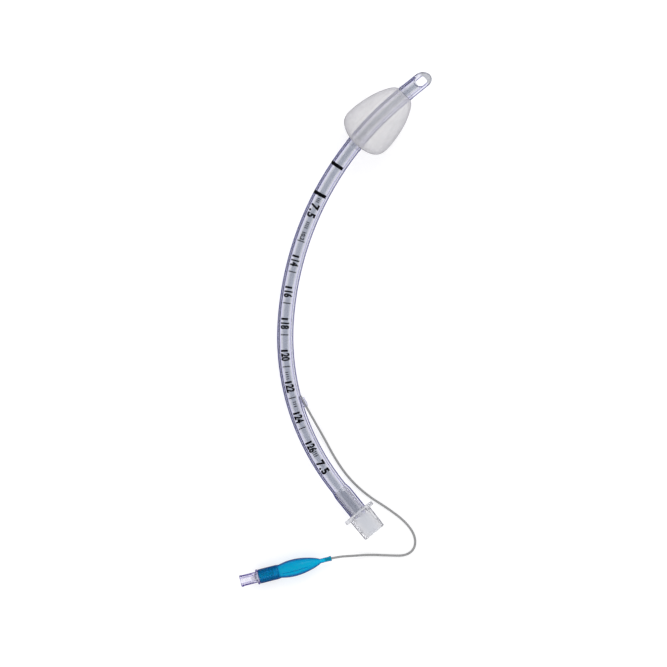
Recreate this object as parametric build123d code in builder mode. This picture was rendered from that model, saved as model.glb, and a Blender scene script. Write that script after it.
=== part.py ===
from build123d import *
import os
from math import asin, cos, degrees, pi, radians, sin, sqrt, tan

# Cuffed endotracheal tube, 7.5 mm, lying on a flat surface.
# Row frame: Z up, the surface is Z = 0, the patient end points along +Y and
# the machine connector along +X. Lengths are in millimetres, angles in degrees.

# Place of the connector's flange in the row frame, seen from above
flange_x = 90.5
flange_y = -98.5
settling_rounds = 8

# Tube shaft
tube_od = 10.2
tube_id = 7.5
nipple_length = 17.7
machine_straight = nipple_length + 1.3
machine_bend_radius = 149.0
machine_bend_angle = 43.25
patient_bend_radius = 197.0
patient_bend_angle = 47.5
patient_straight = 23.0

# Patient end: bevel, and the side eye in the longer wall
bevel_angle = 38.0
tip_roll = 15.0
tip_edge_radius = 0.35
eye_length = 6.5
eye_width = 5.2
eye_corner = 1.3
eye_from_toe = 7.5

# Stripe that shows under X-rays, drawn into the wall at an angle from its top
# towards the outer side of the bend
stripe_angle = 64.0
stripe_width = 1.6
stripe_thickness = 0.5
stripe_short_of_tip = 9.0
stripe_clearance = 0.01
stripe_corner = 4.0
stripe_dip_start = 1.0
stripe_dip_end = 0.4

# Inflation passage in the inner side of the bend
passage_diameter = 0.6
passage_overlap = 1.5
port_diameter = 1.0
port_from_toe = 43.0

# Cuff: thin balloon with a collar at each end, both bonded to the shaft
cuff_from_toe = 21.0
cuff_length = 43.3
cuff_radius = 16.7
cuff_widest = 32.0
cuff_shoulder = 9.4
cuff_shoulder_radius = 12.1
cuff_shoulder_slope = 0.43
cuff_shoulder_handle = 4.23
cuff_widest_handle = 6.328
cuff_nose_reach = 0.9
cuff_nose_rise = 3.0
cuff_tail_reach = 2.0
cuff_tail_radius = 13.861
cuff_film = 0.25
cuff_collar_length = 4.0
cuff_collar_wall = 0.3
bond_gap = 0.03
cuff_overlap = 0.8
cuff_hidden = 1.7
cuff_rest = 35.0
cuff_rest_radius = 16.36

# Machine connector: 15 mm male cone, flange with two ears, ribbed nipple
cone_mouth_diameter = 15.1
cone_taper = 1 / 40
cone_length = 15.0
cone_wall = 1.25
cone_mouth_chamfer = 0.5
flange_diameter = 16.8
flange_thickness = 1.8
ear_span = 21.4
ear_width = 7.0
ear_thickness = 2.4
ear_hole_radius = 5.0
nipple_od = 9.0
nipple_bore = 7.0
nipple_lead = 2.5
nipple_tip_od = 7.9
nipple_gap = 0.02
nipple_seat_lead = 0.6
throat_wall = 0.7
throat_lead = 2.0
flange_gap = 0.1
flare_wall = 1.28
flare_slope_length = 3.8

# Inflation line and its bond to the shaft
line_diameter = 1.4
line_socket_gap = 0.03
line_start_from_flange = 83.0
line_start_radius = 4.85
line_lift = 14.0
line_first_run = 15.0
line_last_run = 3.8
line_end_gap = 0.1
line_bend_share = 0.45
bond_length = 6.6
bond_radius = 1.6
bond_fullness = 0.9
bond_from_line_start = 1.4

# Points of the inflation line between its two ends, chosen by hand
line_points = [
    (41.5, -85.9, 1.3),
    (55.5, -88.7, 0.75),
    (70.0, -89.9, 0.75),
    (85.9, -87.9, 0.75),
    (100.9, -82.8, 0.75),
    (114.1, -79.5, 0.75),
    (124.8, -80.0, 0.75),
    (131.4, -85.1, 0.75),
    (131.5, -92.6, 0.75),
    (125.2, -100.1, 0.75),
    (116.4, -110.0, 1.1),
    (110.1, -118.8, 3.4),
]

# Pilot balloon: neck, balloon and valve sleeve moulded in one piece
pilot_x = 102.8
pilot_y = -129.9
pilot_heading = -114.8
pilot_clearance = 0.02
neck_length = 7.2
neck_diameter = 2.8
neck_lip_diameter = 3.2
neck_lip_length = 0.8
neck_lip_slope = 0.6
neck_socket_depth = 4.2
pilot_passage_diameter = 1.0
balloon_length = 26.4
balloon_diameter = 10.8
balloon_widest = 17.4
balloon_film = 0.45
balloon_hollow_start = 0.9
balloon_nose_reach = 1.566
balloon_nose_radius = 2.592
balloon_front_handle = 8.004
balloon_back_handle = 5.04
balloon_waist_handle = 1.62
sleeve_length = 13.2
sleeve_diameter = 9.1
sleeve_waist_diameter = 8.6
sleeve_shoulder = 1.6
sleeve_stop = 0.5
sleeve_stop_length = 0.9

# Valve housing: barrel in the sleeve, collar, and the port with its 6 % socket
barrel_diameter = 6.8
barrel_gap = 0.02
barrel_inset = 1.0
barrel_lead = 0.5
collar_diameter = 9.6
collar_thickness = 1.2
collar_gap = 0.3
port_od = 6.9
port_length = 10.6
port_rim = 0.2
port_rim_length = 1.2
port_mouth_chamfer = 0.2
housing_chamfer = 0.3
socket_mouth_diameter = 4.27
socket_taper = 0.06
socket_depth = 8.2
throat_diameter = 2.5
seat_thickness = 1.3
chamber_diameter = 5.2

# Valve works: plunger with its seal, spring, and the retainer behind them
plunger_stem_diameter = 1.8
plunger_reach = 1.2
plunger_head_diameter = 4.4
plunger_head_thickness = 1.0
plunger_tail_diameter = 1.6
plunger_travel = 2.0
stem_chamfer = 0.3
tail_chamfer = 0.2
tail_lead = 0.4
seal_diameter = 4.2
seal_thickness = 0.9
seal_gap = 0.05
seal_fit = 0.02
spring_wire = 0.42
spring_diameter = 3.5
spring_turns = 6
spring_gap = 0.03
retainer_thickness = 2.6
retainer_gap = 0.02
retainer_inset = 0.2
retainer_vents = 4
retainer_guide_clearance = 0.2
retainer_vent_diameter = 0.7
retainer_vent_circle = 3.6

# Spare reach of the cuts
spare = 1.0

# Radii and lengths that follow
tube_radius = tube_od / 2
bore_radius = tube_id / 2
wall_middle = (tube_radius + bore_radius) / 2
nipple_radius = nipple_od / 2
nipple_tip_radius = nipple_tip_od / 2
flare_radius = nipple_radius + nipple_gap + flare_wall
flange_radius = flange_diameter / 2
cone_mouth_radius = cone_mouth_diameter / 2
connector_front = flange_thickness + cone_length
cone_root_radius = cone_mouth_radius + cone_length * cone_taper / 2
line_radius = line_diameter / 2
tube_length = (
    machine_straight
    + machine_bend_radius * radians(machine_bend_angle)
    + patient_bend_radius * radians(patient_bend_angle)
    + patient_straight
)


def draw_route(side=0.0):
    """The shaft's route in its own plane, from bend to toe, moved outwards by side."""
    lead = Line((0, -side), (-machine_straight, -side))
    first = JernArc(lead @ 1, lead % 1, machine_bend_radius + side, -machine_bend_angle)
    second = JernArc(first @ 1, first % 1, patient_bend_radius + side, -patient_bend_angle)
    Line(second @ 1, (second @ 1) + (second % 1) * patient_straight)


def along(route, distance):
    """Point of a route at a distance from its start."""
    return route.position_at(distance, position_mode=PositionMode.LENGTH)


def heading(route, distance):
    """Direction of a route at a distance from its start."""
    return route.tangent_at(distance, position_mode=PositionMode.LENGTH)


# The tube rests on the cuff, the outer side of its bend and the flange: the
# surface is the plane that touches all three, found in the shaft's own plane
with BuildLine() as flat_route:
    draw_route()
flat_wire = flat_route.wires()[0]
cuff_front_flat = along(flat_wire, tube_length - cuff_from_toe)
cuff_back_flat = along(flat_wire, tube_length - cuff_from_toe - cuff_length)
cuff_axis_flat = (cuff_back_flat - cuff_front_flat).normalized()
bend_centre_flat = Vector(-machine_straight, machine_bend_radius)
floor_normal = Vector(0, 0, 1)
downhill = Vector(-0.45, -0.9)
for _ in range(settling_rounds):
    rests = [
        (cuff_front_flat + cuff_axis_flat * cuff_rest, cuff_rest_radius),
        (bend_centre_flat + downhill * machine_bend_radius, tube_radius),
        (Vector(0, 0, 0), flange_radius),
    ]
    feet = [centre - floor_normal * reach for centre, reach in rests]
    floor_normal = (feet[2] - feet[1]).cross(feet[0] - feet[1]).normalized()
    downhill = Vector(-floor_normal.X, -floor_normal.Y).normalized()
slope_x = floor_normal.X
slope_y = floor_normal.Y
level_x = sqrt(1 - slope_x**2)
lay_x = Vector(level_x, 0, slope_x)
lay_y = Vector(-slope_x * slope_y / level_x, floor_normal.Z / level_x, slope_y)
lay_height = -floor_normal.dot(feet[2])
lay = Plane(origin=(flange_x, flange_y, lay_height), x_dir=lay_x, z_dir=lay_x.cross(lay_y))
lay_up = lay.z_dir
connector_axis = Axis(lay.origin, lay.x_dir)

with BuildLine(lay) as centreline:
    draw_route()
shaft_wire = centreline.wires()[0]
toe_centre = along(shaft_wire, tube_length)
toe_axis = heading(shaft_wire, tube_length)


def station(from_flange):
    """Plane square to the shaft: local Z towards the toe, local X up, Y outwards."""
    place = along(shaft_wire, from_flange)
    direction = heading(shaft_wire, from_flange)
    return Plane(origin=place, x_dir=lay_up, z_dir=direction)


def inward(from_flange):
    """Direction from the shaft's axis to the inner side of the bend."""
    return heading(shaft_wire, from_flange).cross(lay_up)


# The inflation line leaves the inner side of the bend at a small angle
line_start_heading = -heading(shaft_wire, line_start_from_flange)
line_start_side = inward(line_start_from_flange)
line_start = along(shaft_wire, line_start_from_flange) + line_start_side * line_start_radius
line_direction = (
    line_start_heading * cos(radians(line_lift)) + line_start_side * sin(radians(line_lift))
)

# Tube shaft: one extrusion with its bore, stripe, passage, bevel and eye
seat_radius = (flare_radius + nipple_radius) / 2
stripe_out = wall_middle * sin(radians(stripe_angle))
stripe_rise = wall_middle * cos(radians(stripe_angle))
stripe_radial = lay_up * cos(radians(stripe_angle)) - lay_y * sin(radians(stripe_angle))
stripe_across = stripe_radial.cross(lay.x_dir)
stripe_lead_plane = Plane(
    origin=lay.origin, x_dir=lay.x_dir, z_dir=lay.x_dir.cross(stripe_radial)
)
with BuildLine(stripe_lead_plane) as stripe_lead:
    FilletPolyline(
        (-flange_gap, seat_radius),
        (-nipple_length + nipple_lead + stripe_dip_start, seat_radius),
        (-nipple_length - stripe_dip_end, wall_middle),
        (-machine_straight, wall_middle),
        radius=stripe_corner,
    )
stripe_plane = Plane(origin=lay.origin + lay_up * stripe_rise, x_dir=lay.x_dir, z_dir=lay_up)
with BuildLine(stripe_plane) as stripe_bends:
    first = JernArc(
        (-machine_straight, -stripe_out),
        (-1, 0),
        machine_bend_radius + stripe_out,
        -machine_bend_angle,
    )
    second = JernArc(
        first @ 1, first % 1, patient_bend_radius + stripe_out, -patient_bend_angle
    )
    Line(
        second @ 1,
        (second @ 1) + (second % 1) * (patient_straight - stripe_short_of_tip),
    )
stripe_wire = Wire(stripe_lead.edges() + stripe_bends.edges())
stripe_end = Plane(origin=stripe_wire @ 0, x_dir=stripe_across, z_dir=stripe_wire % 0)

passage_from_flange = line_start_from_flange - passage_overlap
passage_to_flange = tube_length - port_from_toe
passage_start = (
    along(shaft_wire, passage_from_flange) + inward(passage_from_flange) * wall_middle
)
first_bend_left = machine_bend_angle - degrees(
    (passage_from_flange - machine_straight) / machine_bend_radius
)
second_bend_left = patient_bend_angle - degrees(
    (port_from_toe - patient_straight) / patient_bend_radius
)
with BuildLine(lay) as passage_route:
    first = JernArc(
        passage_start,
        heading(shaft_wire, passage_from_flange),
        machine_bend_radius - wall_middle,
        -first_bend_left,
    )
    JernArc(first @ 1, first % 1, patient_bend_radius - wall_middle, -second_bend_left)
passage_wire = passage_route.wires()[0]

toe_side = lay_up * cos(radians(tip_roll)) + toe_axis.cross(lay_up) * sin(radians(tip_roll))
bevel_normal = toe_axis * sin(radians(bevel_angle)) - toe_side * cos(radians(bevel_angle))
bevel_plane = Plane(origin=toe_centre + toe_side * tube_radius, z_dir=bevel_normal)
eye_plane = Plane(origin=toe_centre - toe_axis * eye_from_toe, x_dir=toe_axis, z_dir=toe_side)
port_side = inward(passage_to_flange)
port_plane = Plane(origin=passage_wire @ 1, z_dir=port_side)
line_plane = Plane(origin=line_start, z_dir=line_direction)

with BuildPart() as tube_shaft:
    with BuildSketch(station(0)):
        Circle(tube_radius)
    sweep(path=shaft_wire)
    with BuildSketch(lay):
        with BuildLine():
            Polyline(
                (-flange_gap, 0),
                (-flange_gap, flare_radius),
                (-nipple_length + nipple_lead, flare_radius),
                (-nipple_length + nipple_lead - flare_slope_length, tube_radius),
                (-nipple_length + nipple_lead - flare_slope_length, 0),
                close=True,
            )
        make_face()
    revolve(axis=connector_axis)
    with BuildSketch(station(0)):
        Circle(bore_radius)
    sweep(path=shaft_wire, mode=Mode.SUBTRACT)
    with BuildSketch(lay):
        with BuildLine():
            Polyline(
                (spare, 0),
                (spare, nipple_radius + nipple_gap),
                (-nipple_length + nipple_lead, nipple_radius + nipple_gap),
                (-nipple_length - nipple_gap, nipple_tip_radius + nipple_gap),
                (-nipple_length - nipple_seat_lead, bore_radius),
                (-nipple_length - nipple_seat_lead, 0),
                close=True,
            )
        make_face()
    revolve(axis=connector_axis, mode=Mode.SUBTRACT)
    with BuildSketch(Plane(origin=lay.origin, x_dir=lay_up, z_dir=lay.x_dir)):
        Circle(flare_radius + spare)
    extrude(amount=-flange_gap, both=True, mode=Mode.SUBTRACT)
    split(bisect_by=bevel_plane, keep=Keep.BOTTOM)
    bevel_face = tube_shaft.faces().sort_by(Axis(toe_centre, toe_axis))[-1]
    fillet(bevel_face.edges(), tip_edge_radius)
    with BuildSketch(eye_plane):
        RectangleRounded(eye_length, eye_width, eye_corner)
    extrude(amount=tube_radius + spare, mode=Mode.SUBTRACT)
    with BuildSketch(stripe_end):
        SlotOverall(stripe_width, stripe_thickness)
    sweep(path=stripe_wire, mode=Mode.SUBTRACT)
    with BuildSketch(Plane(origin=passage_wire @ 0, z_dir=passage_wire % 0)):
        Circle(passage_diameter / 2)
    sweep(path=passage_wire, mode=Mode.SUBTRACT)
    with BuildSketch(port_plane):
        Circle(port_diameter / 2)
    extrude(amount=tube_radius, mode=Mode.SUBTRACT)
    with BuildSketch(line_plane):
        Circle(line_radius + line_socket_gap)
    extrude(amount=line_first_run, mode=Mode.SUBTRACT)

# Stripe for X-rays
with BuildPart() as radiopaque_stripe:
    with BuildSketch(stripe_end):
        SlotOverall(stripe_width - 2 * stripe_clearance, stripe_thickness - 2 * stripe_clearance)
    sweep(path=stripe_wire)

# Cuff: the balloon turns about the chord of the shaft's bend, its collars follow the shaft
cuff_front = along(shaft_wire, tube_length - cuff_from_toe)
cuff_back = along(shaft_wire, tube_length - cuff_from_toe - cuff_length)
cuff_plane = Plane(origin=cuff_front, x_dir=cuff_back - cuff_front, z_dir=lay_up)
cuff_axis = Axis(cuff_front, cuff_back - cuff_front)
cuff_root = tube_radius + cuff_collar_wall / 2


def collar_wire(from_toe, length):
    """Stretch of the shaft's own route under one collar."""
    start = (tube_length - from_toe) / tube_length
    end = (tube_length - from_toe - length) / tube_length
    return shaft_wire.trim(end, start)


def draw_cuff(inset):
    """Half outline of the cuff's balloon along its chord, moved inwards by inset."""
    front = (inset, cuff_root)
    shoulder = (cuff_shoulder, cuff_shoulder_radius - inset)
    widest = (cuff_widest, cuff_radius - inset)
    back = (cuff_length - inset, cuff_root)
    inner_front = (inset, cuff_hidden + inset)
    inner_back = (cuff_length - inset, cuff_hidden + inset)
    Line(inner_front, front)
    Bezier(
        front,
        (inset + cuff_nose_reach, cuff_root + cuff_nose_rise),
        (
            cuff_shoulder - cuff_shoulder_handle,
            cuff_shoulder_radius - inset - cuff_shoulder_handle * cuff_shoulder_slope,
        ),
        shoulder,
    )
    Bezier(
        shoulder,
        (
            cuff_shoulder + cuff_widest_handle,
            cuff_shoulder_radius - inset + cuff_widest_handle * cuff_shoulder_slope,
        ),
        (cuff_widest - cuff_widest_handle, cuff_radius - inset),
        widest,
    )
    Bezier(
        widest,
        (cuff_widest + cuff_widest_handle, cuff_radius - inset),
        (cuff_length - inset - cuff_tail_reach, cuff_tail_radius - inset),
        back,
    )
    Line(back, inner_back)
    Line(inner_back, inner_front)


collar_reach = cuff_collar_length + cuff_overlap
front_collar_wire = collar_wire(cuff_from_toe - cuff_collar_length, collar_reach)
back_collar_wire = collar_wire(cuff_from_toe + cuff_length - cuff_overlap, collar_reach)
under_cuff_wire = collar_wire(cuff_from_toe - collar_reach, cuff_length + 2 * collar_reach)

with BuildPart() as cuff:
    with BuildSketch(cuff_plane):
        with BuildLine():
            draw_cuff(0)
        make_face()
        with BuildLine():
            draw_cuff(cuff_film)
        make_face(mode=Mode.SUBTRACT)
    revolve(axis=cuff_axis)
    with BuildSketch(Plane(origin=under_cuff_wire @ 0, z_dir=under_cuff_wire % 0)):
        Circle(tube_radius + bond_gap)
    sweep(path=under_cuff_wire, mode=Mode.SUBTRACT)
    for wire in (front_collar_wire, back_collar_wire):
        with BuildSketch(Plane(origin=wire @ 0, z_dir=wire % 0)):
            Circle(tube_radius + bond_gap + cuff_collar_wall)
            Circle(tube_radius + bond_gap, mode=Mode.SUBTRACT)
        sweep(path=wire)

# Machine connector
with BuildPart() as tube_connector:
    with BuildSketch(lay):
        with BuildLine():
            Polyline(
                (-nipple_length, nipple_bore / 2),
                (-nipple_length, nipple_tip_radius),
                (-nipple_length + nipple_lead, nipple_radius),
                (0, nipple_radius),
                (0, flange_radius),
                (flange_thickness, flange_radius),
                (flange_thickness, cone_root_radius),
                (connector_front - cone_mouth_chamfer, cone_mouth_radius),
                (connector_front, cone_mouth_radius - cone_mouth_chamfer),
                (connector_front, cone_mouth_radius - cone_wall),
                (flange_thickness + throat_lead, cone_root_radius - cone_wall - throat_wall),
                (flange_thickness - nipple_seat_lead, nipple_bore / 2),
                close=True,
            )
        make_face()
    revolve(axis=connector_axis)
    with BuildSketch(Plane(origin=lay.origin, x_dir=lay_y, z_dir=lay.x_dir)):
        SlotOverall(ear_span, ear_width)
        Circle(ear_hole_radius, mode=Mode.SUBTRACT)
    extrude(amount=ear_thickness)

# Bead of solvent weld where the inflation line enters the shaft
bond_centre = line_start + line_direction * (bond_from_line_start + bond_length / 2)
bond_plane = Plane(origin=bond_centre, x_dir=line_direction, z_dir=lay_up)
bond_stretch = collar_wire(
    tube_length - line_start_from_flange - 2 * bond_length, 6 * bond_length
)
with BuildPart() as line_bond:
    with BuildSketch(bond_plane):
        with BuildLine():
            Line((-bond_length / 2, 0), (bond_length / 2, 0))
            Spline(
                (bond_length / 2, 0),
                (bond_length / 4, bond_radius * bond_fullness),
                (0, bond_radius),
                (-bond_length / 4, bond_radius * bond_fullness),
                (-bond_length / 2, 0),
                tangents=[(0, 1), (0, -1)],
            )
        make_face()
    revolve(axis=Axis(bond_centre, line_direction))
    with BuildSketch(Plane(origin=bond_stretch @ 0, z_dir=bond_stretch % 0)):
        Circle(tube_radius + bond_gap)
    sweep(path=bond_stretch, mode=Mode.SUBTRACT)
    with BuildSketch(line_plane):
        Circle(line_radius + line_socket_gap)
    extrude(amount=bond_length * 2, mode=Mode.SUBTRACT)

# Pilot axis: it lies on the balloon's widest part and on the housing's collar
neck_lip_end = neck_lip_length + neck_lip_slope
hollow_start = neck_length + balloon_hollow_start
sleeve_start = neck_length + balloon_length
collar_start = sleeve_start + sleeve_length + collar_gap
balloon_rest = neck_length + balloon_widest
collar_rest = collar_start + collar_thickness / 2
pilot_drop = (balloon_diameter - collar_diameter) / 2 / (collar_rest - balloon_rest)
pilot_pitch = asin(pilot_drop)
pilot_dir = Vector(
    cos(radians(pilot_heading)) * cos(pilot_pitch),
    sin(radians(pilot_heading)) * cos(pilot_pitch),
    -sin(pilot_pitch),
)
pilot_height = balloon_diameter / 2 + pilot_drop * balloon_rest + pilot_clearance
pilot_origin = Vector(pilot_x, pilot_y, pilot_height)
pilot_side = Plane(
    origin=pilot_origin, x_dir=pilot_dir, z_dir=pilot_dir.cross(Vector(0, 0, 1))
)
pilot_axis = Axis(pilot_origin, pilot_dir)


def pilot_plane(distance):
    """Plane square to the pilot's axis at a distance from the neck's mouth."""
    return Plane(origin=pilot_origin + pilot_dir * distance, x_dir=pilot_side.y_dir, z_dir=pilot_dir)


# Inflation line: one smooth cord from the notch in the shaft to the pilot's neck
line_end = pilot_origin + pilot_dir * (neck_socket_depth - line_end_gap)
line_before_neck = pilot_origin - pilot_dir * line_last_run
route = [line_start, line_start + line_direction * line_first_run]
route += [Vector(*point) for point in line_points]
route += [line_before_neck, line_end]
bend_radii = []
for before, corner, after in zip(route, route[1:], route[2:]):
    turn = (corner - before).get_angle(after - corner)
    shorter = min((corner - before).length, (after - corner).length)
    bend_radii.append(line_bend_share * shorter / tan(radians(turn) / 2))
print("inflation line bend radii", [round(radius, 1) for radius in bend_radii])
with BuildLine() as line_route:
    FilletPolyline(*route, radius=bend_radii)
line_wire = line_route.wires()[0]
with BuildPart() as inflation_line:
    with BuildSketch(Plane(origin=line_wire @ 0, z_dir=line_wire % 0)):
        Circle(line_radius)
    sweep(path=line_wire)
print("inflation line length", round(line_wire.length, 1))
print("inflation line volume", round(inflation_line.part.volume, 1))
print("its section times its length", round(pi * line_radius**2 * line_wire.length, 1))


def draw_balloon(inset, neck_end, neck_radius):
    """Half outline of the pilot balloon from its neck to its sleeve, moved inwards."""
    widest = neck_length + balloon_widest
    radius = balloon_diameter / 2 - inset
    waist = sleeve_waist_diameter / 2 - inset
    Bezier(
        (neck_end, neck_radius),
        (neck_end + balloon_nose_reach, balloon_nose_radius - inset),
        (widest - balloon_front_handle, radius),
        (widest, radius),
    )
    Bezier(
        (widest, radius),
        (widest + balloon_back_handle, radius),
        (sleeve_start - balloon_waist_handle, waist),
        (sleeve_start, waist),
    )


# Pilot balloon
with BuildPart() as pilot_balloon:
    with BuildSketch(pilot_side):
        with BuildLine():
            Line((0, 0), (0, neck_lip_diameter / 2))
            Line((0, neck_lip_diameter / 2), (neck_lip_length, neck_lip_diameter / 2))
            Line((neck_lip_length, neck_lip_diameter / 2), (neck_lip_end, neck_diameter / 2))
            Line((neck_lip_end, neck_diameter / 2), (neck_length, neck_diameter / 2))
            draw_balloon(0, neck_length, neck_diameter / 2)
            Polyline(
                (sleeve_start, sleeve_waist_diameter / 2),
                (sleeve_start + sleeve_shoulder, sleeve_diameter / 2),
                (sleeve_start + sleeve_length, sleeve_diameter / 2),
                (sleeve_start + sleeve_length, 0),
                (0, 0),
            )
        make_face()
    revolve(axis=pilot_axis)
    with BuildSketch(pilot_side):
        with BuildLine():
            draw_balloon(balloon_film, hollow_start, pilot_passage_diameter / 2)
            Polyline(
                (sleeve_start, sleeve_waist_diameter / 2 - balloon_film),
                (sleeve_start, barrel_diameter / 2 - sleeve_stop),
                (sleeve_start + sleeve_stop_length, barrel_diameter / 2 - sleeve_stop),
                (sleeve_start + sleeve_stop_length, barrel_diameter / 2 + barrel_gap),
                (sleeve_start + sleeve_length, barrel_diameter / 2 + barrel_gap),
                (sleeve_start + sleeve_length, 0),
            )
            Polyline(
                (hollow_start, pilot_passage_diameter / 2),
                (neck_socket_depth, pilot_passage_diameter / 2),
                (neck_socket_depth, line_radius + line_socket_gap),
                (0, line_radius + line_socket_gap),
                (0, 0),
                (sleeve_start + sleeve_length, 0),
            )
        make_face()
    revolve(axis=pilot_axis, mode=Mode.SUBTRACT)

# Valve housing
barrel_start = sleeve_start + barrel_inset
port_start = collar_start + collar_thickness
port_end = port_start + port_length
socket_floor = port_end - socket_depth
seat_face = socket_floor - seat_thickness
socket_floor_radius = socket_mouth_diameter / 2 - socket_depth * socket_taper / 2
port_radius = port_od / 2
with BuildPart() as valve_housing:
    with BuildSketch(pilot_side):
        with BuildLine():
            Polyline(
                (barrel_start, chamber_diameter / 2),
                (barrel_start, barrel_diameter / 2 - housing_chamfer),
                (barrel_start + barrel_lead, barrel_diameter / 2),
                (collar_start, barrel_diameter / 2),
                (collar_start, collar_diameter / 2 - housing_chamfer),
                (collar_start + housing_chamfer, collar_diameter / 2),
                (port_start - housing_chamfer, collar_diameter / 2),
                (port_start, collar_diameter / 2 - housing_chamfer),
                (port_start, port_radius),
                (port_end - port_rim_length - housing_chamfer, port_radius),
                (port_end - port_rim_length, port_radius + port_rim),
                (port_end - port_mouth_chamfer, port_radius + port_rim),
                (port_end, port_radius + port_rim - port_mouth_chamfer),
                (port_end, socket_mouth_diameter / 2),
                (socket_floor, socket_floor_radius),
                (socket_floor, throat_diameter / 2),
                (seat_face, throat_diameter / 2),
                (seat_face, chamber_diameter / 2),
                close=True,
            )
        make_face()
    revolve(axis=pilot_axis)

# Retainer that closes the chamber behind the spring
retainer_start = barrel_start + retainer_inset
retainer_end = retainer_start + retainer_thickness
guide_radius = plunger_tail_diameter / 2 + retainer_guide_clearance
with BuildPart() as valve_retainer:
    with BuildSketch(pilot_plane(retainer_start)):
        Circle(chamber_diameter / 2 - retainer_gap)
        Circle(guide_radius, mode=Mode.SUBTRACT)
        with PolarLocations(retainer_vent_circle / 2, retainer_vents):
            Circle(retainer_vent_diameter / 2, mode=Mode.SUBTRACT)
    extrude(amount=retainer_thickness)

# Plunger: stem into the socket, head behind the seat, tail through the spring
seal_face = seat_face - seal_gap
head_front = seal_face - seal_thickness
head_back = head_front - plunger_head_thickness
stem_end = socket_floor + plunger_reach
tail_end = retainer_start + plunger_travel / 4
with BuildPart() as valve_plunger:
    with BuildSketch(pilot_side):
        with BuildLine():
            Polyline(
                (tail_end, 0),
                (tail_end, plunger_tail_diameter / 2 - tail_chamfer),
                (tail_end + tail_lead, plunger_tail_diameter / 2),
                (head_back, plunger_tail_diameter / 2),
                (head_back, plunger_head_diameter / 2),
                (head_front, plunger_head_diameter / 2),
                (head_front, plunger_stem_diameter / 2),
                (stem_end - stem_chamfer, plunger_stem_diameter / 2),
                (stem_end, plunger_stem_diameter / 2 - stem_chamfer),
                (stem_end, 0),
                close=True,
            )
        make_face()
    revolve(axis=pilot_axis)

# Seal ring on the plunger's front face
with BuildPart() as valve_seal:
    with BuildSketch(pilot_plane(head_front)):
        Circle(seal_diameter / 2)
        Circle(plunger_stem_diameter / 2 + seal_fit, mode=Mode.SUBTRACT)
    extrude(amount=seal_thickness)

# Return spring between the plunger's head and the retainer
spring_room = head_back - retainer_end - 2 * spring_gap - spring_wire
spring_foot = pilot_origin + pilot_dir * (retainer_end + spring_gap + spring_wire / 2)
with BuildLine() as spring_route:
    Helix(
        pitch=spring_room / spring_turns,
        height=spring_room,
        radius=spring_diameter / 2,
        center=spring_foot,
        direction=pilot_dir,
    )
with BuildPart() as valve_spring:
    with BuildSketch(Plane(origin=spring_route.line @ 0, z_dir=spring_route.line % 0)):
        Circle(spring_wire / 2)
    sweep(path=spring_route.line, is_frenet=True)

os.makedirs("parts", exist_ok=True)
pieces = {
    "tube_shaft": tube_shaft,
    "radiopaque_stripe": radiopaque_stripe,
    "cuff": cuff,
    "tube_connector": tube_connector,
    "line_bond": line_bond,
    "inflation_line": inflation_line,
    "pilot_balloon": pilot_balloon,
    "valve_housing": valve_housing,
    "valve_retainer": valve_retainer,
    "valve_plunger": valve_plunger,
    "valve_seal": valve_seal,
    "valve_spring": valve_spring,
}
for name, piece in pieces.items():
    piece.part.label = name
    export_step(piece.part, f"parts/{name}.step")
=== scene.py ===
import math

import bmesh
import bpy
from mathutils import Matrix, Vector


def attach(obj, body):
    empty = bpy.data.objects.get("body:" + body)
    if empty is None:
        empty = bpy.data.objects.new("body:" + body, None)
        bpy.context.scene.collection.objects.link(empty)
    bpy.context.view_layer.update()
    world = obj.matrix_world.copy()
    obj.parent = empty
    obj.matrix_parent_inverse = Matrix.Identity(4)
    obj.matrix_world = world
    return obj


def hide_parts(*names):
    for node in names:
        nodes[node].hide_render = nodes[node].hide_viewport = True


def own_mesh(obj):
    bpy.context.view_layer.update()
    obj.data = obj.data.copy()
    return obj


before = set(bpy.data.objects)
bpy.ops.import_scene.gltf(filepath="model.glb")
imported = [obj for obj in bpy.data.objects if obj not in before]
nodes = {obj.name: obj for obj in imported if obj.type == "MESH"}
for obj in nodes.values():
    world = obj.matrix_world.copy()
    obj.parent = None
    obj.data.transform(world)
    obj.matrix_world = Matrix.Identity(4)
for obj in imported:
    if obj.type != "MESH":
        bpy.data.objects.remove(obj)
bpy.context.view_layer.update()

# Cuffed endotracheal tube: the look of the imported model. Lengths are in metres.
scene = bpy.context.scene
scene.view_settings.view_transform = "Standard"

# Camera: straight above the surface, turned as the photograph is
camera_data = bpy.data.cameras.new("camera")
camera_data.sensor_width = 36
camera_data.lens = 214.5
camera_data.clip_end = 20
camera = bpy.data.objects.new("camera", camera_data)
camera.location = (-0.0058, -0.0399, 2.5)
camera.rotation_euler = (0, 0, math.radians(50.89))
scene.collection.objects.link(camera)
scene.camera = camera

# Inflation line: the points of the part's route, as one smooth spline
line_diameter = 0.0014
line_points = [
    (0.0114819, -0.0806936, 0.005778),
    (0.0262187, -0.0834343, 0.0063395),
    (0.0415, -0.0859, 0.0013),
    (0.0555, -0.0887, 0.00075),
    (0.0700, -0.0899, 0.00075),
    (0.0859, -0.0879, 0.00075),
    (0.1009, -0.0828, 0.00075),
    (0.1141, -0.0795, 0.00075),
    (0.1248, -0.0800, 0.00075),
    (0.1314, -0.0851, 0.00075),
    (0.13145, -0.0926, 0.00075),
    (0.1252, -0.1001, 0.00075),
    (0.1164, -0.1100, 0.0011),
    (0.1101, -0.1188, 0.0034),
    (0.1043934, -0.1264516, 0.0061577),
    (0.1010808, -0.1336206, 0.0059525),
]
line_curve = bpy.data.curves.new("inflation_line_cord", "CURVE")
line_curve.dimensions = "3D"
line_curve.bevel_depth = 1.0
line_curve.bevel_resolution = 6
line_curve.resolution_u = 16
line_curve.use_fill_caps = True
line_spline = line_curve.splines.new("NURBS")
line_spline.points.add(len(line_points) - 1)
for point, place in zip(line_spline.points, line_points):
    point.co = (*place, 1)
    point.radius = line_diameter / 2
line_spline.order_u = 3
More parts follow.
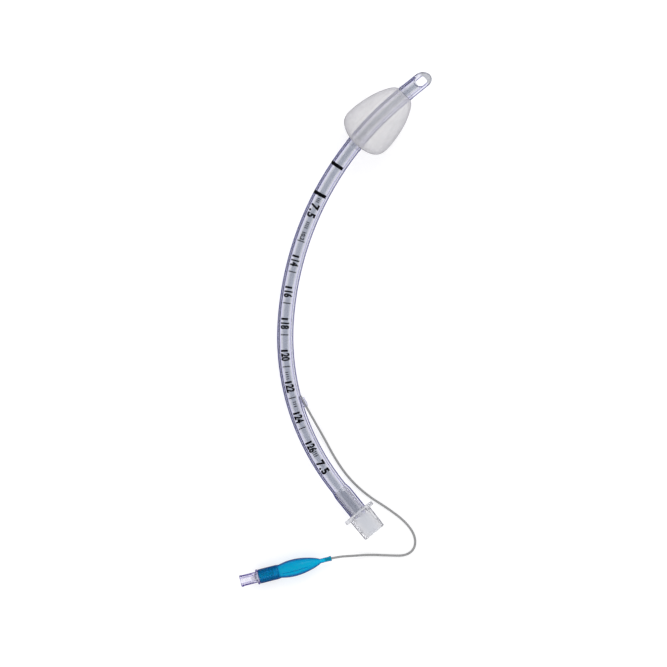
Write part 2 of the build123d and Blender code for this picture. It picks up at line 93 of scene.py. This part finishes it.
line_spline.use_endpoint_u = True
line_cord = bpy.data.objects.new("inflation_line_cord", line_curve)
scene.collection.objects.link(line_cord)
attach(line_cord, "tube")
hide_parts("inflation_line")

# Materials: how fine and deep their unevenness is, and how clear they are
cloud_low, cloud_high = 0.3, 0.7
plastic_grain = 900
plastic_cloud = 0.97
plastic_unevenness = 0.3
plastic_bump = 0.00001
plastic_ior = 1.45
solid_grain = 700
solid_unevenness = 0.25
solid_bump = 0.00003
film_grain = 260
film_detail = 5.0
film_cloud = 0.94
film_unevenness = 0.2
film_bump = 0.00003
film_ior = 1.4
film_coat = 0.2
film_glow = 0.5
# Where the painted dark edges of clear plastic fall: in full on upright walls, a share on
# level ones
wall_upright, wall_level = 0.60, 0.80
level_wall_share = 0.25


def new_material(name):
    """Empty node material with its output, and its node tree."""
    material = bpy.data.materials.new(name)
    material.use_nodes = True
    tree = material.node_tree
    tree.nodes.clear()
    output = tree.nodes.new("ShaderNodeOutputMaterial")
    return material, tree, output


def noise(tree, scale, detail=3.0):
    """Noise texture in the row frame; gives its value's socket."""
    place = tree.nodes.new("ShaderNodeTexCoord")
    texture = tree.nodes.new("ShaderNodeTexNoise")
    texture.inputs["Scale"].default_value = scale
    texture.inputs["Detail"].default_value = detail
    tree.links.new(place.outputs["Object"], texture.inputs["Vector"])
    return texture.outputs["Fac"]


def ramp(tree, value, stops):
    """Colour ramp through the stops (position, colour); gives its colour's socket."""
    node = tree.nodes.new("ShaderNodeValToRGB")
    elements = node.color_ramp.elements
    while len(elements) < len(stops):
        elements.new(0.5)
    for element, (position, colour) in zip(elements, stops):
        element.position = position
        element.color = (*colour, 1)
    tree.links.new(value, node.inputs["Fac"])
    return node.outputs["Color"]


def spread(tree, value, low, high):
    """Value from 0..1 spread to low..high."""
    node = tree.nodes.new("ShaderNodeMapRange")
    node.inputs["To Min"].default_value = low
    node.inputs["To Max"].default_value = high
    tree.links.new(value, node.inputs["Value"])
    return node.outputs["Result"]


def bump(tree, value, distance):
    """Bump from a height value; gives the normal's socket."""
    node = tree.nodes.new("ShaderNodeBump")
    node.inputs["Distance"].default_value = distance
    node.inputs["Strength"].default_value = 1.0
    tree.links.new(value, node.inputs["Height"])
    return node.outputs["Normal"]


def finish_surface(tree, shader, cloud, roughness, share, bump_distance):
    """Roughness that varies by a share of itself, and a bump, from the same cloudiness."""
    rough = spread(tree, cloud, roughness * (1 - share), roughness * (1 + share))
    tree.links.new(rough, shader.inputs["Roughness"])
    tree.links.new(bump(tree, cloud, bump_distance), shader.inputs["Normal"])


def principled(tree, **values):
    """Principled shader with the given sockets' values."""
    node = tree.nodes.new("ShaderNodeBsdfPrincipled")
    for name, value in values.items():
        node.inputs[name.replace("_", " ")].default_value = value
    return node


def surface_facing(tree):
    """Socket that is 0 where a surface is seen straight on, and 1 along it."""
    node = tree.nodes.new("ShaderNodeLayerWeight")
    node.inputs["Blend"].default_value = 0.5
    return node.outputs["Facing"]


def math_node(tree, operation, first, second=None):
    """Result of a calculation on one or two sockets."""
    node = tree.nodes.new("ShaderNodeMath")
    node.operation = operation
    tree.links.new(first, node.inputs[0])
    if second is not None:
        tree.links.new(second, node.inputs[1])
    return node.outputs["Value"]


def smooth_step(tree, value, start, end, before=0.0, after=1.0):
    """Value that goes smoothly from before to after, between start and end."""
    node = tree.nodes.new("ShaderNodeMapRange")
    node.interpolation_type = "SMOOTHSTEP"
    node.inputs["From Min"].default_value = start
    node.inputs["From Max"].default_value = end
    node.inputs["To Min"].default_value = before
    node.inputs["To Max"].default_value = after
    tree.links.new(value, node.inputs["Value"])
    return node.outputs["Result"]


def mix_shaders(tree, share, first, second):
    """First shader turning into the second by a share, a number or a socket."""
    node = tree.nodes.new("ShaderNodeMixShader")
    if isinstance(share, float):
        node.inputs["Fac"].default_value = share
    else:
        tree.links.new(share, node.inputs["Fac"])
    tree.links.new(first, node.inputs[1])
    tree.links.new(second, node.inputs[2])
    return node.outputs["Shader"]


def coloured_shader(tree, kind, colour):
    """Shader node of a kind in one colour, or in a socket's colour."""
    node = tree.nodes.new(kind)
    if isinstance(colour, tuple):
        node.inputs["Color"].default_value = (*colour, 1)
    else:
        tree.links.new(colour, node.inputs["Color"])
    return node.outputs[0]


def tint_by_facing(tree, cloud, stops, low):
    """Tint and painted shade from straight on (0) to along the surface (1), times a faint
    cloudiness.
    """
    tint = ramp(tree, surface_facing(tree), stops)
    grain = ramp(tree, cloud, [(cloud_low, (low, low, low)), (cloud_high, (1.0, 1.0, 1.0))])
    product = tree.nodes.new("ShaderNodeMix")
    product.data_type = "RGBA"
    product.blend_type = "MULTIPLY"
    product.inputs["Factor"].default_value = 1.0
    tree.links.new(tint, product.inputs["A"])
    tree.links.new(grain, product.inputs["B"])
    return product.outputs["Result"]


def let_light_through(tree, shader, colour, output):
    """Lamps shine through the surface in that tint, where other rays see the shader."""
    path = tree.nodes.new("ShaderNodeLightPath")
    light = math_node(
        tree, "MAXIMUM", path.outputs["Is Shadow Ray"], path.outputs["Is Diffuse Ray"]
    )
    clear = coloured_shader(tree, "ShaderNodeBsdfTransparent", colour)
    tree.links.new(mix_shaders(tree, light, shader, clear), output.inputs["Surface"])


def edge_tint(tree, shader, tint, start, end):
    """Walls seen along their surface, between start and end of facing, in one dark tint:
    partly the plastic's own absorption, partly a painted dark edge standing in for shade.

    Upright walls take it in full, level ones a quarter, so that a tube which runs away
    from the eye stays clear.
    """
    seen_along = smooth_step(tree, surface_facing(tree), start, end)
    geometry = tree.nodes.new("ShaderNodeNewGeometry")
    parts = tree.nodes.new("ShaderNodeSeparateXYZ")
    tree.links.new(geometry.outputs["Normal"], parts.inputs["Vector"])
    level = math_node(tree, "ABSOLUTE", parts.outputs["Z"])
    upright = smooth_step(tree, level, wall_upright, wall_level, 1.0, level_wall_share)
    share = math_node(tree, "MULTIPLY", seen_along, upright)
    clear = coloured_shader(tree, "ShaderNodeBsdfTransparent", tint)
    return mix_shaders(tree, share, shader, clear)


def grey_beyond(tree, colour, start, direction, reach, grey):
    """Colour that turns to a painted grey shade from a point on along a direction, over that
    reach.
    """
    place = tree.nodes.new("ShaderNodeTexCoord")
    away = tree.nodes.new("ShaderNodeVectorMath")
    away.operation = "SUBTRACT"
    away.inputs[1].default_value = start
    along = tree.nodes.new("ShaderNodeVectorMath")
    along.operation = "DOT_PRODUCT"
    along.inputs[1].default_value = direction
    share = tree.nodes.new("ShaderNodeMapRange")
    share.inputs["From Max"].default_value = reach
    mix = tree.nodes.new("ShaderNodeMix")
    mix.data_type = "RGBA"
    mix.inputs["B"].default_value = (*grey, 1)
    tree.links.new(place.outputs["Object"], away.inputs[0])
    tree.links.new(away.outputs["Vector"], along.inputs[0])
    tree.links.new(along.outputs["Value"], share.inputs["Value"])
    tree.links.new(share.outputs["Result"], mix.inputs["Factor"])
    tree.links.new(colour, mix.inputs["A"])
    return mix.outputs["Result"]


def clear_plastic(name, stops, roughness, shadow, edge, milk=0.0, milky=None, tip_shade=None):
    """Clear moulded or extruded plastic with a faint cloudiness, and some milk in it."""
    material, tree, output = new_material(name)
    cloud = noise(tree, plastic_grain)
    glass = principled(tree, IOR=plastic_ior, Transmission_Weight=1.0)
    tint = tint_by_facing(tree, cloud, stops, plastic_cloud)
    # Grey from a point on along the shaft: painted shade
    if tip_shade:
        tint = grey_beyond(tree, tint, *tip_shade)
    tree.links.new(tint, glass.inputs["Base Color"])
    finish_surface(tree, glass, cloud, roughness, plastic_unevenness, plastic_bump)
    shader = glass.outputs["BSDF"]
    if milk:
        body = coloured_shader(tree, "ShaderNodeBsdfTranslucent", milky)
        shader = mix_shaders(tree, milk, shader, body)
    # Painted dark edges where walls are seen along their surface
    let_light_through(tree, edge_tint(tree, shader, *edge), shadow, output)
    return material


def solid_plastic(name, pale, deep, roughness, **values):
    """Opaque plastic, ink, rubber or metal with a faint unevenness."""
    material, tree, output = new_material(name)
    cloud = noise(tree, solid_grain)
    shader = principled(tree, **values)
    colour = ramp(tree, cloud, [(cloud_low, pale), (cloud_high, deep)])
    tree.links.new(colour, shader.inputs["Base Color"])
    finish_surface(tree, shader, cloud, roughness, solid_unevenness, solid_bump)
    tree.links.new(shader.outputs["BSDF"], output.inputs["Surface"])
    return material


def film_material(name, stops, thin, thick, roughness):
    """Thin film: partly see-through, and denser where it is seen along its surface."""
    material, tree, output = new_material(name)
    cloud = noise(tree, film_grain, film_detail)
    density = smooth_step(tree, surface_facing(tree), 0.0, 1.0, thin, thick)
    colour = tint_by_facing(tree, cloud, stops, film_cloud)
    surface = principled(tree, IOR=film_ior, Coat_Weight=film_coat)
    tree.links.new(colour, surface.inputs["Base Color"])
    finish_surface(tree, surface, cloud, roughness, film_unevenness, film_bump)
    through = coloured_shader(tree, "ShaderNodeBsdfTranslucent", colour)
    body = mix_shaders(tree, film_glow, surface.outputs["BSDF"], through)
    clear = coloured_shader(tree, "ShaderNodeBsdfTransparent", colour)
    tree.links.new(mix_shaders(tree, density, clear, body), output.inputs["Surface"])
    return material


shaft_material = clear_plastic(
    "shaft_pvc",
    [
        # Grey where seen straight through: painted shadow of the tube on the floor beneath
        (0.0, (0.59, 0.61, 0.66)),
        (0.035, (0.60, 0.62, 0.67)),
        (0.06, (0.84, 0.845, 0.87)),
        (0.14, (0.86, 0.86, 0.89)),
        (0.22, (0.84, 0.84, 0.93)),
        (0.32, (0.80, 0.80, 0.97)),
        # Darker along the surface: partly the PVC's own absorption, partly painted dark edges
        (0.50, (0.72, 0.72, 0.94)),
        (1.0, (0.50, 0.50, 0.76)),
    ],
    0.03,
    (0.95, 0.95, 0.98),
    # Painted dark edges on upright walls
    ((0.26, 0.26, 0.48), 0.46, 0.64),
    # The toe turns grey: painted shade
    tip_shade=(
        (-0.093573, 0.103178, 0.022309),
        (0.005489, 0.992228, 0.124315),
        0.002,
        (0.48, 0.49, 0.52),
    ),
)
stripe_material = solid_plastic(
    "stripe_blue", (0.010, 0.016, 0.15), (0.015, 0.024, 0.22), 0.5, Specular_IOR_Level=0.0
)
connector_material = clear_plastic(
    "connector_milky",
    # Grey where seen straight through: painted shadow beneath it, as on the shaft; darker
    # towards the edges: partly its own absorption, partly painted dark edges
    [
        (0.0, (0.80, 0.82, 0.85)),
        (0.07, (0.82, 0.84, 0.87)),
        (0.16, (0.96, 0.96, 0.96)),
        (0.5, (0.94, 0.94, 0.95)),
        (1.0, (0.70, 0.70, 0.73)),
    ],
    0.18,
    (0.93, 0.93, 0.94),
    ((0.50, 0.50, 0.53), 0.48, 0.80),
    milk=0.28,
    milky=(0.90, 0.90, 0.91),
)
bond_material = clear_plastic(
    "bond_pvc",
    # Darker along the surface: partly its own tint, partly painted dark edges
    [(0.0, (0.90, 0.90, 0.95)), (0.4, (0.76, 0.76, 0.92)), (1.0, (0.30, 0.30, 0.50))],
    0.10,
    (0.92, 0.92, 0.96),
    ((0.45, 0.45, 0.66), 0.55, 0.85),
)
housing_material = clear_plastic(
    "housing_clear",
    [
        # Violet that deepens along the surface: partly its own tint, partly painted dark edges
        (0.0, (0.95, 0.945, 0.97)),
        (0.10, (0.90, 0.89, 0.95)),
        (0.24, (0.70, 0.67, 0.86)),
        (0.5, (0.50, 0.45, 0.72)),
        (1.0, (0.20, 0.16, 0.42)),
    ],
    0.04,
    (0.92, 0.91, 0.96),
    ((0.30, 0.25, 0.50), 0.32, 0.6),
)
line_material = solid_plastic(
    "line_grey", (0.34, 0.34, 0.335), (0.27, 0.27, 0.265), 0.35, Specular_IOR_Level=0.3
)
white_material = solid_plastic("white_moulded", (0.85, 0.85, 0.84), (0.78, 0.78, 0.78), 0.4)
rubber_material = solid_plastic("seal_grey", (0.30, 0.30, 0.33), (0.24, 0.24, 0.27), 0.55)
steel_material = solid_plastic(
    "spring_steel_bright", (0.72, 0.72, 0.73), (0.6, 0.6, 0.62), 0.25, Metallic=1.0
)
ink_material = solid_plastic(
    "print_ink", (0.003, 0.003, 0.004), (0.006, 0.006, 0.008), 0.7, Specular_IOR_Level=0.0
)


# Frosted cuff: its grey where it is seen along its surface, towards the edges, is painted
# shade
cuff_material = film_material(
    "cuff_frosted",
    [
        (0.0, (0.97, 0.965, 0.96)),
        (0.5, (0.93, 0.925, 0.925)),
        (0.76, (0.82, 0.815, 0.82)),
        (0.92, (0.40, 0.39, 0.41)),
        (1.0, (0.22, 0.21, 0.23)),
    ],
    0.34,
    0.90,
    0.45,
)
collar_material = film_material(
    "collar_clear",
    [(0.0, (0.97, 0.97, 0.98)), (0.6, (0.93, 0.93, 0.96)), (1.0, (0.70, 0.70, 0.80))],
    0.06,
    0.30,
    0.3,
)
# Blue balloon film: deeper blue along its surface is partly its own colour through more film;
# the near black at its edges and along its fold is painted shade
balloon_material = film_material(
    "balloon_blue",
    [
        (0.0, (0.01, 0.74, 0.90)),
        (0.3, (0.01, 0.60, 0.85)),
        (0.5, (0.0, 0.22, 0.52)),
        (0.8, (0.0, 0.06, 0.26)),
        (1.0, (0.0, 0.03, 0.18)),
    ],
    0.30,
    0.85,
    0.2,
)
# Blue sleeve film: deeper blue along its surface is partly its own colour, and the near black
# at its edges is painted shade
sleeve_material = film_material(
    "sleeve_blue",
    [
        (0.0, (0.01, 0.56, 0.80)),
        (0.25, (0.01, 0.44, 0.72)),
        (0.5, (0.0, 0.14, 0.40)),
        (1.0, (0.0, 0.03, 0.18)),
    ],
    0.20,
    0.80,
    0.2,
)

for name, material in {
    "tube_shaft": shaft_material,
    "radiopaque_stripe": stripe_material,
    "tube_connector": connector_material,
    "line_bond": bond_material,
    "valve_housing": housing_material,
    "valve_retainer": white_material,
    "valve_plunger": white_material,
    "valve_seal": rubber_material,
    "valve_spring": steel_material,
}.items():
    for slot in nodes[name].material_slots:
        slot.material = material
line_curve.materials.append(line_material)

# The shaft's own plane and route, from the flange to the toe
lay_origin = Vector((0.0905, -0.0985, 0.0084))
lay_x = Vector((0.998124, 0, 0.061225))
lay_y = Vector((-0.007577, 0.992313, 0.123525))
lay_up = Vector((-0.060754, -0.123757, 0.990451))
tube_radius = 0.0051
tube_length = 0.317793
route_runs = [(0.019, None), (math.radians(43.25), 0.149), (math.radians(47.5), 0.197)]


def shaft_place(distance):
    """Centre of the shaft at a distance from the flange, and its direction outwards."""
    u, v, turned, left = 0.0, 0.0, 0.0, distance
    for run, radius in route_runs:
        if radius is None:
            step = min(left, run)
            u -= step * math.cos(turned)
            v += step * math.sin(turned)
            left -= step
        else:
            angle = min(left / radius, run)
            u -= radius * (math.sin(turned + angle) - math.sin(turned))
            v -= radius * (math.cos(turned + angle) - math.cos(turned))
            turned += angle
            left -= angle * radius
    u -= left * math.cos(turned)
    v += left * math.sin(turned)
    centre = lay_origin + lay_x * u + lay_y * v
    outwards = -lay_x * math.sin(turned) - lay_y * math.cos(turned)
    return centre, outwards


def on_shaft(distance, angle, radius):
    """Point on the shaft: angle 0 is on top, and 90 degrees the outer side of the bend."""
    centre, outwards = shaft_place(distance)
    return centre + (lay_up * math.cos(angle) + outwards * math.sin(angle)) * radius


def add_piece(name, mesh, material):
    """Piece on the tube from a bmesh, which it uses up; its four-sided faces are smooth."""
    data = bpy.data.meshes.new(name)
    mesh.to_mesh(data)
    mesh.free()
    data.materials.append(material)
    for polygon in data.polygons:
        polygon.use_smooth = polygon.loop_total == 4
    piece = bpy.data.objects.new(name, data)
    scene.collection.objects.link(piece)
    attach(piece, "tube")
    return piece


def join_rings(mesh, rings):
    """Faces from each ring of vertices to the next."""
    for low, high in zip(rings, rings[1:]):
        for step in range(len(low)):
            after = (step + 1) % len(low)
            mesh.faces.new((low[step], high[step], high[after], low[after]))


# Print on the shaft, in fields that follow its roundness
print_radius = tube_radius + 0.00002
print_step = 0.0003
digit_share = 0.7
band_length = 0.0022
mark_offset = 0.0047
even_bar = (0.0013, 26, -25)
odd_bar = (0.0006, 25, -31)
number_gap = 0.0015
number_middle = math.radians(-5)
lower_number_middle = math.radians(-4)
word_bar_length = 0.0005
print_mesh = bmesh.new()


def add_patch(distance, length, from_angle, to_angle):
    """Printed field on the shaft, centred at a distance from the flange."""
    columns = max(2, round(abs(to_angle - from_angle) * tube_radius / print_step))
    rows = []
    for side in (-0.5, 0.0, 0.5):
        row = []
        for column in range(columns + 1):
            angle = from_angle + (to_angle - from_angle) * column / columns
            place = on_shaft(distance + side * length, angle, print_radius)
            row.append(print_mesh.verts.new(place))
        rows.append(row)
    for low, high in zip(rows, rows[1:]):
        for column in range(columns):
            print_mesh.faces.new(
                (low[column], low[column + 1], high[column + 1], high[column])
            )


def add_number(text, distance, middle, height, squeeze, bold, spacing=1.0):
    """Printed number that reads towards the flange, its tops to the bend's inner side."""
    font = bpy.data.curves.new("digits", "FONT")
    font.body = text
    font.size = height / digit_share
    font.offset = bold
    font.space_character = spacing
    font.resolution_u = 4
    stand_in = bpy.data.objects.new("digits", font)
    scene.collection.objects.link(stand_in)
    flat = bpy.data.meshes.new_from_object(
        stand_in.evaluated_get(bpy.context.evaluated_depsgraph_get())
    )
    bpy.data.objects.remove(stand_in)
    glyphs = bmesh.new()
    glyphs.from_mesh(flat)
    bpy.data.meshes.remove(flat)
    for level in range(-2, math.ceil(height / print_step) + 3):
        everything = glyphs.verts[:] + glyphs.edges[:] + glyphs.faces[:]
        cut = (0, level * print_step, 0)
        bmesh.ops.bisect_plane(glyphs, geom=everything, plane_co=cut, plane_no=(0, 1, 0))
    turned = {}
    for vertex in glyphs.verts:
        x, y, _ = vertex.co
        angle = middle - (y - height / 2) / tube_radius
        place = on_shaft(distance - x * squeeze, angle, print_radius)
        turned[vertex] = print_mesh.verts.new(place)
    for face in glyphs.faces:
        print_mesh.faces.new([turned[vertex] for vertex in face.verts])
    glyphs.free()


def add_bar(from_toe, length, low, high):
    """Printed bar across the shaft between two angles in degrees."""
    add_patch(tube_length - from_toe, length, math.radians(low), math.radians(high))


for from_toe in (0.0822, 0.1031):
    add_bar(from_toe, band_length, 88, -46)
for mark in range(13, 27):
    from_toe = mark / 100 + mark_offset
    if mark % 2 == 0:
        add_bar(from_toe, *even_bar)
        start = tube_length - from_toe - number_gap
        add_number(str(mark), start, number_middle, 0.0050, 0.68, 0.00034)
    else:
        add_bar(from_toe, *odd_bar)
add_number("7.5", tube_length - 0.1096, number_middle, 0.0052, 0.86, 0.00036, 1.22)
add_number("10.2", tube_length - 0.1281, number_middle, 0.0025, 0.95, 0.00014)
add_number("7.5", tube_length - 0.2780, lower_number_middle, 0.0050, 0.86, 0.00036, 1.22)

# Short plain marks where the real shaft has words
for first, count, gap, low, high in (
    (0.1058, 3, 0.0011, 8, -17),
    (0.1222, 4, 0.0012, 8, -17),
    (0.2183, 4, 0.0014, 10, -12),
    (0.2376, 3, 0.0014, 2, -22),
    (0.2716, 3, 0.0013, 12, -24),
):
    for bar in range(count):
        add_bar(first + bar * gap, word_bar_length, low, high)
mesh = bpy.data.meshes.new("shaft_print")
print_mesh.to_mesh(mesh)
print_mesh.free()
shaft_print = bpy.data.objects.new("shaft_print", mesh)
scene.collection.objects.link(shaft_print)
mesh.materials.append(ink_material)
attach(shaft_print, "tube")


def bezier(points, steps):
    """Points along a cubic, without its last."""
    a, b, c, d = [Vector(point) for point in points]
    line = []
    for step in range(steps):
        t = step / steps
        line.append(
            a * (1 - t) ** 3 + b * 3 * t * (1 - t) ** 2 + c * 3 * t * t * (1 - t) + d * t**3
        )
    return line


def turned_skin(name, start, axis, up, outline, around, ripple, material):
    """Closed film turned about an axis from an outline of (along, radius).

    Its radius is changed by ripple.
    """
    side = axis.cross(up).normalized()
    up = side.cross(axis).normalized()
    skin = bmesh.new()
    rings = []
    for along, radius in outline:
        ring = []
        for step in range(around):
            angle = math.tau * step / around
            out = up * math.cos(angle) + side * math.sin(angle)
            reach = radius + ripple(along, angle)
            ring.append(skin.verts.new(start + axis * along + out * reach))
        rings.append(ring)
    join_rings(skin, rings)
    bmesh.ops.recalc_face_normals(skin, faces=skin.faces[:])
    return add_piece(name, skin, material)


# Cuff: thin film that gathers in fine pleats at its two collars
cuff_front = Vector((-0.0936533, 0.0885909, 0.0204811))
cuff_back = Vector((-0.0895840, 0.0458709, 0.0153928))
cuff_axis = (cuff_back - cuff_front).normalized()
cuff_length = (cuff_back - cuff_front).length
cuff_root = tube_radius + 0.00015
cuff_around = 136
cuff_nose = [(0, cuff_root), (0.0009, 0.00825), (0.00517, 0.010281), (0.0094, 0.0121)]
cuff_flank = [(0.0094, 0.0121), (0.015728, 0.014821), (0.025672, 0.0167), (0.032, 0.0167)]
cuff_tail = [
    (0.032, 0.0167),
    (0.038328, 0.0167),
    (cuff_length - 0.002, 0.013861),
    (cuff_length, cuff_root),
]
cuff_outline = [
    *bezier(cuff_nose, 16),
    *bezier(cuff_flank, 28),
    *bezier(cuff_tail, 32),
    Vector((cuff_length, cuff_root)),
]
pleat_front_reach = 0.0060
pleat_back_reach = 0.0055
pleat_rise = 0.0012
pleat_count = 17
pleat_depth = 0.00028


def cuff_pleats(along, angle):
    """Fine pleats at the collars that die out along the film, always inwards."""
    front = math.exp(-((along / pleat_front_reach) ** 2))
    back = math.exp(-(((cuff_length - along) / pleat_back_reach) ** 2))
    rise = min(along, cuff_length - along, pleat_rise) / pleat_rise
    ridges = 0.5 - 0.5 * math.cos(pleat_count * angle + 0.8 * math.sin(3 * angle))
    return -pleat_depth * rise * ridges * (front + back)


cuff_film = turned_skin(
    "cuff_balloon",
    cuff_front,
    cuff_axis,
    lay_up,
    cuff_outline,
    cuff_around,
    cuff_pleats,
    cuff_material,
)
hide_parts("cuff")

# Collars that bond the cuff to the shaft
collar_length = 0.0038
collar_thickness = 0.00028
collar_rim = 0.00004
collar_rows = 8
collar_around = 64
for name, from_toe in (("cuff_front_collar", 0.0178), ("cuff_back_collar", 0.0635)):
    collar = bmesh.new()
    rings = []
    for row in range(collar_rows + 1):
        distance = tube_length - from_toe - collar_length * row / collar_rows
        edge = collar_thickness if 0 < row < collar_rows else collar_rim
        ring = []
        for step in range(collar_around):
            place = on_shaft(distance, math.tau * step / collar_around, tube_radius + edge)
            ring.append(collar.verts.new(place))
        rings.append(ring)
    join_rings(collar, rings)
    bmesh.ops.recalc_face_normals(collar, faces=collar.faces[:])
    piece = add_piece(name, collar, collar_material)
    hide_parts("cuff")

# Pilot balloon: soft skin with one fold along it, over the valve's sleeve
pilot_start = Vector((0.1028, -0.1299, 0.00605896))
pilot_axis = Vector((-0.419311, -0.907471, -0.025974))
sleeve_start = 0.0336
balloon_around = 144
balloon_front = [(0.0072, 0.0014), (0.008766, 0.002592), (0.016596, 0.0054), (0.0246, 0.0054)]
balloon_back = [(0.0246, 0.0054), (0.02964, 0.0054), (0.03198, 0.0043), (sleeve_start, 0.0043)]
balloon_outline = [
    Vector((0.0, 0.00075)),
    Vector((0.0, 0.00145)),
    Vector((0.00012, 0.00158)),
    Vector((0.0007, 0.00160)),
    Vector((0.0011, 0.00150)),
    Vector((0.0014, 0.00140)),
    Vector((0.0028, 0.00140)),
    Vector((0.0044, 0.00140)),
    Vector((0.0060, 0.00140)),
    *bezier(balloon_front, 26),
    *bezier(balloon_back, 16),
    Vector((sleeve_start, 0.0043)),
    Vector((0.0344, 0.00443)),
    Vector((0.0352, 0.00455)),
    Vector((0.0380, 0.00455)),
    Vector((0.0410, 0.00455)),
    Vector((0.0440, 0.00455)),
    Vector((0.0465, 0.00455)),
    Vector((0.0468, 0.00440)),
    Vector((0.0468, 0.00345)),
]
# The fold is steep, so that the balloon's painted shade by facing draws a dark line along it
fold_start, fold_lead = 0.0125, 0.008
fold_end, fold_tail = 0.0334, 0.003
fold_angle = math.radians(-26)
fold_width = 0.09
fold_depth = 0.00085


def balloon_fold(along, angle):
    """One soft fold along the balloon, on its upper side towards the connector."""
    inside = min((along - fold_start) / fold_lead, (fold_end - along) / fold_tail, 1.0)
    off = math.remainder(angle - fold_angle, math.tau)
    return -fold_depth * max(0.0, inside) * math.exp(-((off / fold_width) ** 2))


balloon_skin = turned_skin(
    "pilot_balloon_skin",
    pilot_start,
    pilot_axis,
    Vector((0, 0, 1)),
    balloon_outline,
    balloon_around,
    balloon_fold,
    balloon_material,
)
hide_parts("pilot_balloon")
balloon_skin.data.materials.append(sleeve_material)
for polygon in balloon_skin.data.polygons:
    if (polygon.center - pilot_start).dot(pilot_axis) > sleeve_start:
        polygon.material_index = 1

# Return spring with closed end turns
spring_wire = 0.00042
spring_radius = 0.00175
spring_turns = 7
spring_reach = [
    (vertex.co - pilot_start).dot(pilot_axis) for vertex in nodes["valve_spring"].data.vertices
]
spring_foot = min(spring_reach) + spring_wire / 2
spring_rise = max(spring_reach) - spring_wire / 2 - spring_foot
spring_side = pilot_axis.cross(Vector((0, 0, 1))).normalized()
spring_up = spring_side.cross(pilot_axis)
coil_steps = 48
coil_around = 10
coil = bmesh.new()
rings = []
for step in range(spring_turns * coil_steps + 1):
    turn = step / coil_steps
    closed = min(turn, 1.0) + max(turn - spring_turns + 1, 0.0)
    active = max(min(turn, spring_turns - 1) - 1.0, 0.0) / (spring_turns - 2)
    along = spring_foot + closed * spring_wire + active * (spring_rise - 2 * spring_wire)
    out = spring_side * math.cos(math.tau * turn) + spring_up * math.sin(math.tau * turn)
    middle = pilot_start + pilot_axis * along + out * spring_radius
    ring = []
    for side in range(coil_around):
        angle = math.tau * side / coil_around
        offset = out * math.cos(angle) + pilot_axis * math.sin(angle)
        ring.append(coil.verts.new(middle + offset * spring_wire / 2))
    rings.append(ring)
join_rings(coil, rings)
coil.faces.new(rings[0])
coil.faces.new(rings[-1][::-1])
bmesh.ops.recalc_face_normals(coil, faces=coil.faces[:])
spring_coils = add_piece("valve_spring_coils", coil, steel_material)
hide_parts("valve_spring")
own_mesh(spring_coils)

# Plain pale floor, shown white, that keeps the shadow
floor_half = 6.0
floor_drop = 0.00006
floor_colour = (0.5, 0.5, 0.5)
floor_lift = 0.58
floor_mesh = bmesh.new()
bmesh.ops.create_grid(floor_mesh, x_segments=1, y_segments=1, size=floor_half)
floor_data = bpy.data.meshes.new("floor")
floor_mesh.to_mesh(floor_data)
floor_mesh.free()
floor = bpy.data.objects.new("floor", floor_data)
floor.location = (0, 0, -floor_drop)
scene.collection.objects.link(floor)
floor_material, tree, output = new_material("floor_white")
matt = coloured_shader(tree, "ShaderNodeBsdfDiffuse", floor_colour)
path = tree.nodes.new("ShaderNodeLightPath")
seen = math_node(
    tree, "MAXIMUM", path.outputs["Is Camera Ray"], path.outputs["Is Transmission Ray"]
)
seen = math_node(tree, "MAXIMUM", seen, path.outputs["Is Glossy Ray"])
lift = tree.nodes.new("ShaderNodeEmission")
tree.links.new(spread(tree, seen, 0.0, floor_lift), lift.inputs["Strength"])
both = tree.nodes.new("ShaderNodeAddShader")
tree.links.new(matt, both.inputs[0])
tree.links.new(lift.outputs["Emission"], both.inputs[1])
tree.links.new(both.outputs["Shader"], output.inputs["Surface"])
floor_data.materials.append(floor_material)

# Soft studio light: a pale sky that darkens to the horizon, and two large lamps
world = bpy.data.worlds.new("studio")
world.use_nodes = True
scene.world = world
tree = world.node_tree
tree.nodes.clear()
output = tree.nodes.new("ShaderNodeOutputWorld")
direction = tree.nodes.new("ShaderNodeTexCoord")
parts = tree.nodes.new("ShaderNodeSeparateXYZ")
tree.links.new(direction.outputs["Generated"], parts.inputs["Vector"])
sky_colour = ramp(
    tree,
    parts.outputs["Z"],
    [(0.0, (0.22, 0.22, 0.27)), (0.35, (0.45, 0.45, 0.50)), (0.8, (0.87, 0.87, 0.89))],
)
sky = coloured_shader(tree, "ShaderNodeBackground", sky_colour)
plain = coloured_shader(tree, "ShaderNodeBackground", (1, 1, 1))
path = tree.nodes.new("ShaderNodeLightPath")
shown = mix_shaders(tree, path.outputs["Is Camera Ray"], sky, plain)
tree.links.new(shown, output.inputs["Surface"])


def add_lamp(name, place, size, power):
    """Square soft lamp that points at the object."""
    lamp_data = bpy.data.lights.new(name, "AREA")
    lamp_data.size = size
    lamp_data.energy = power
    lamp = bpy.data.objects.new(name, lamp_data)
    lamp.location = place
    lamp.rotation_euler = (-Vector(place)).to_track_quat("-Z", "Y").to_euler()
    scene.collection.objects.link(lamp)


add_lamp("key_lamp", (-0.9, 1.2, 1.6), 1.2, 14)
add_lamp("fill_lamp", (1.2, -0.9, 1.5), 1.4, 8)

bpy.context.view_layer.update()
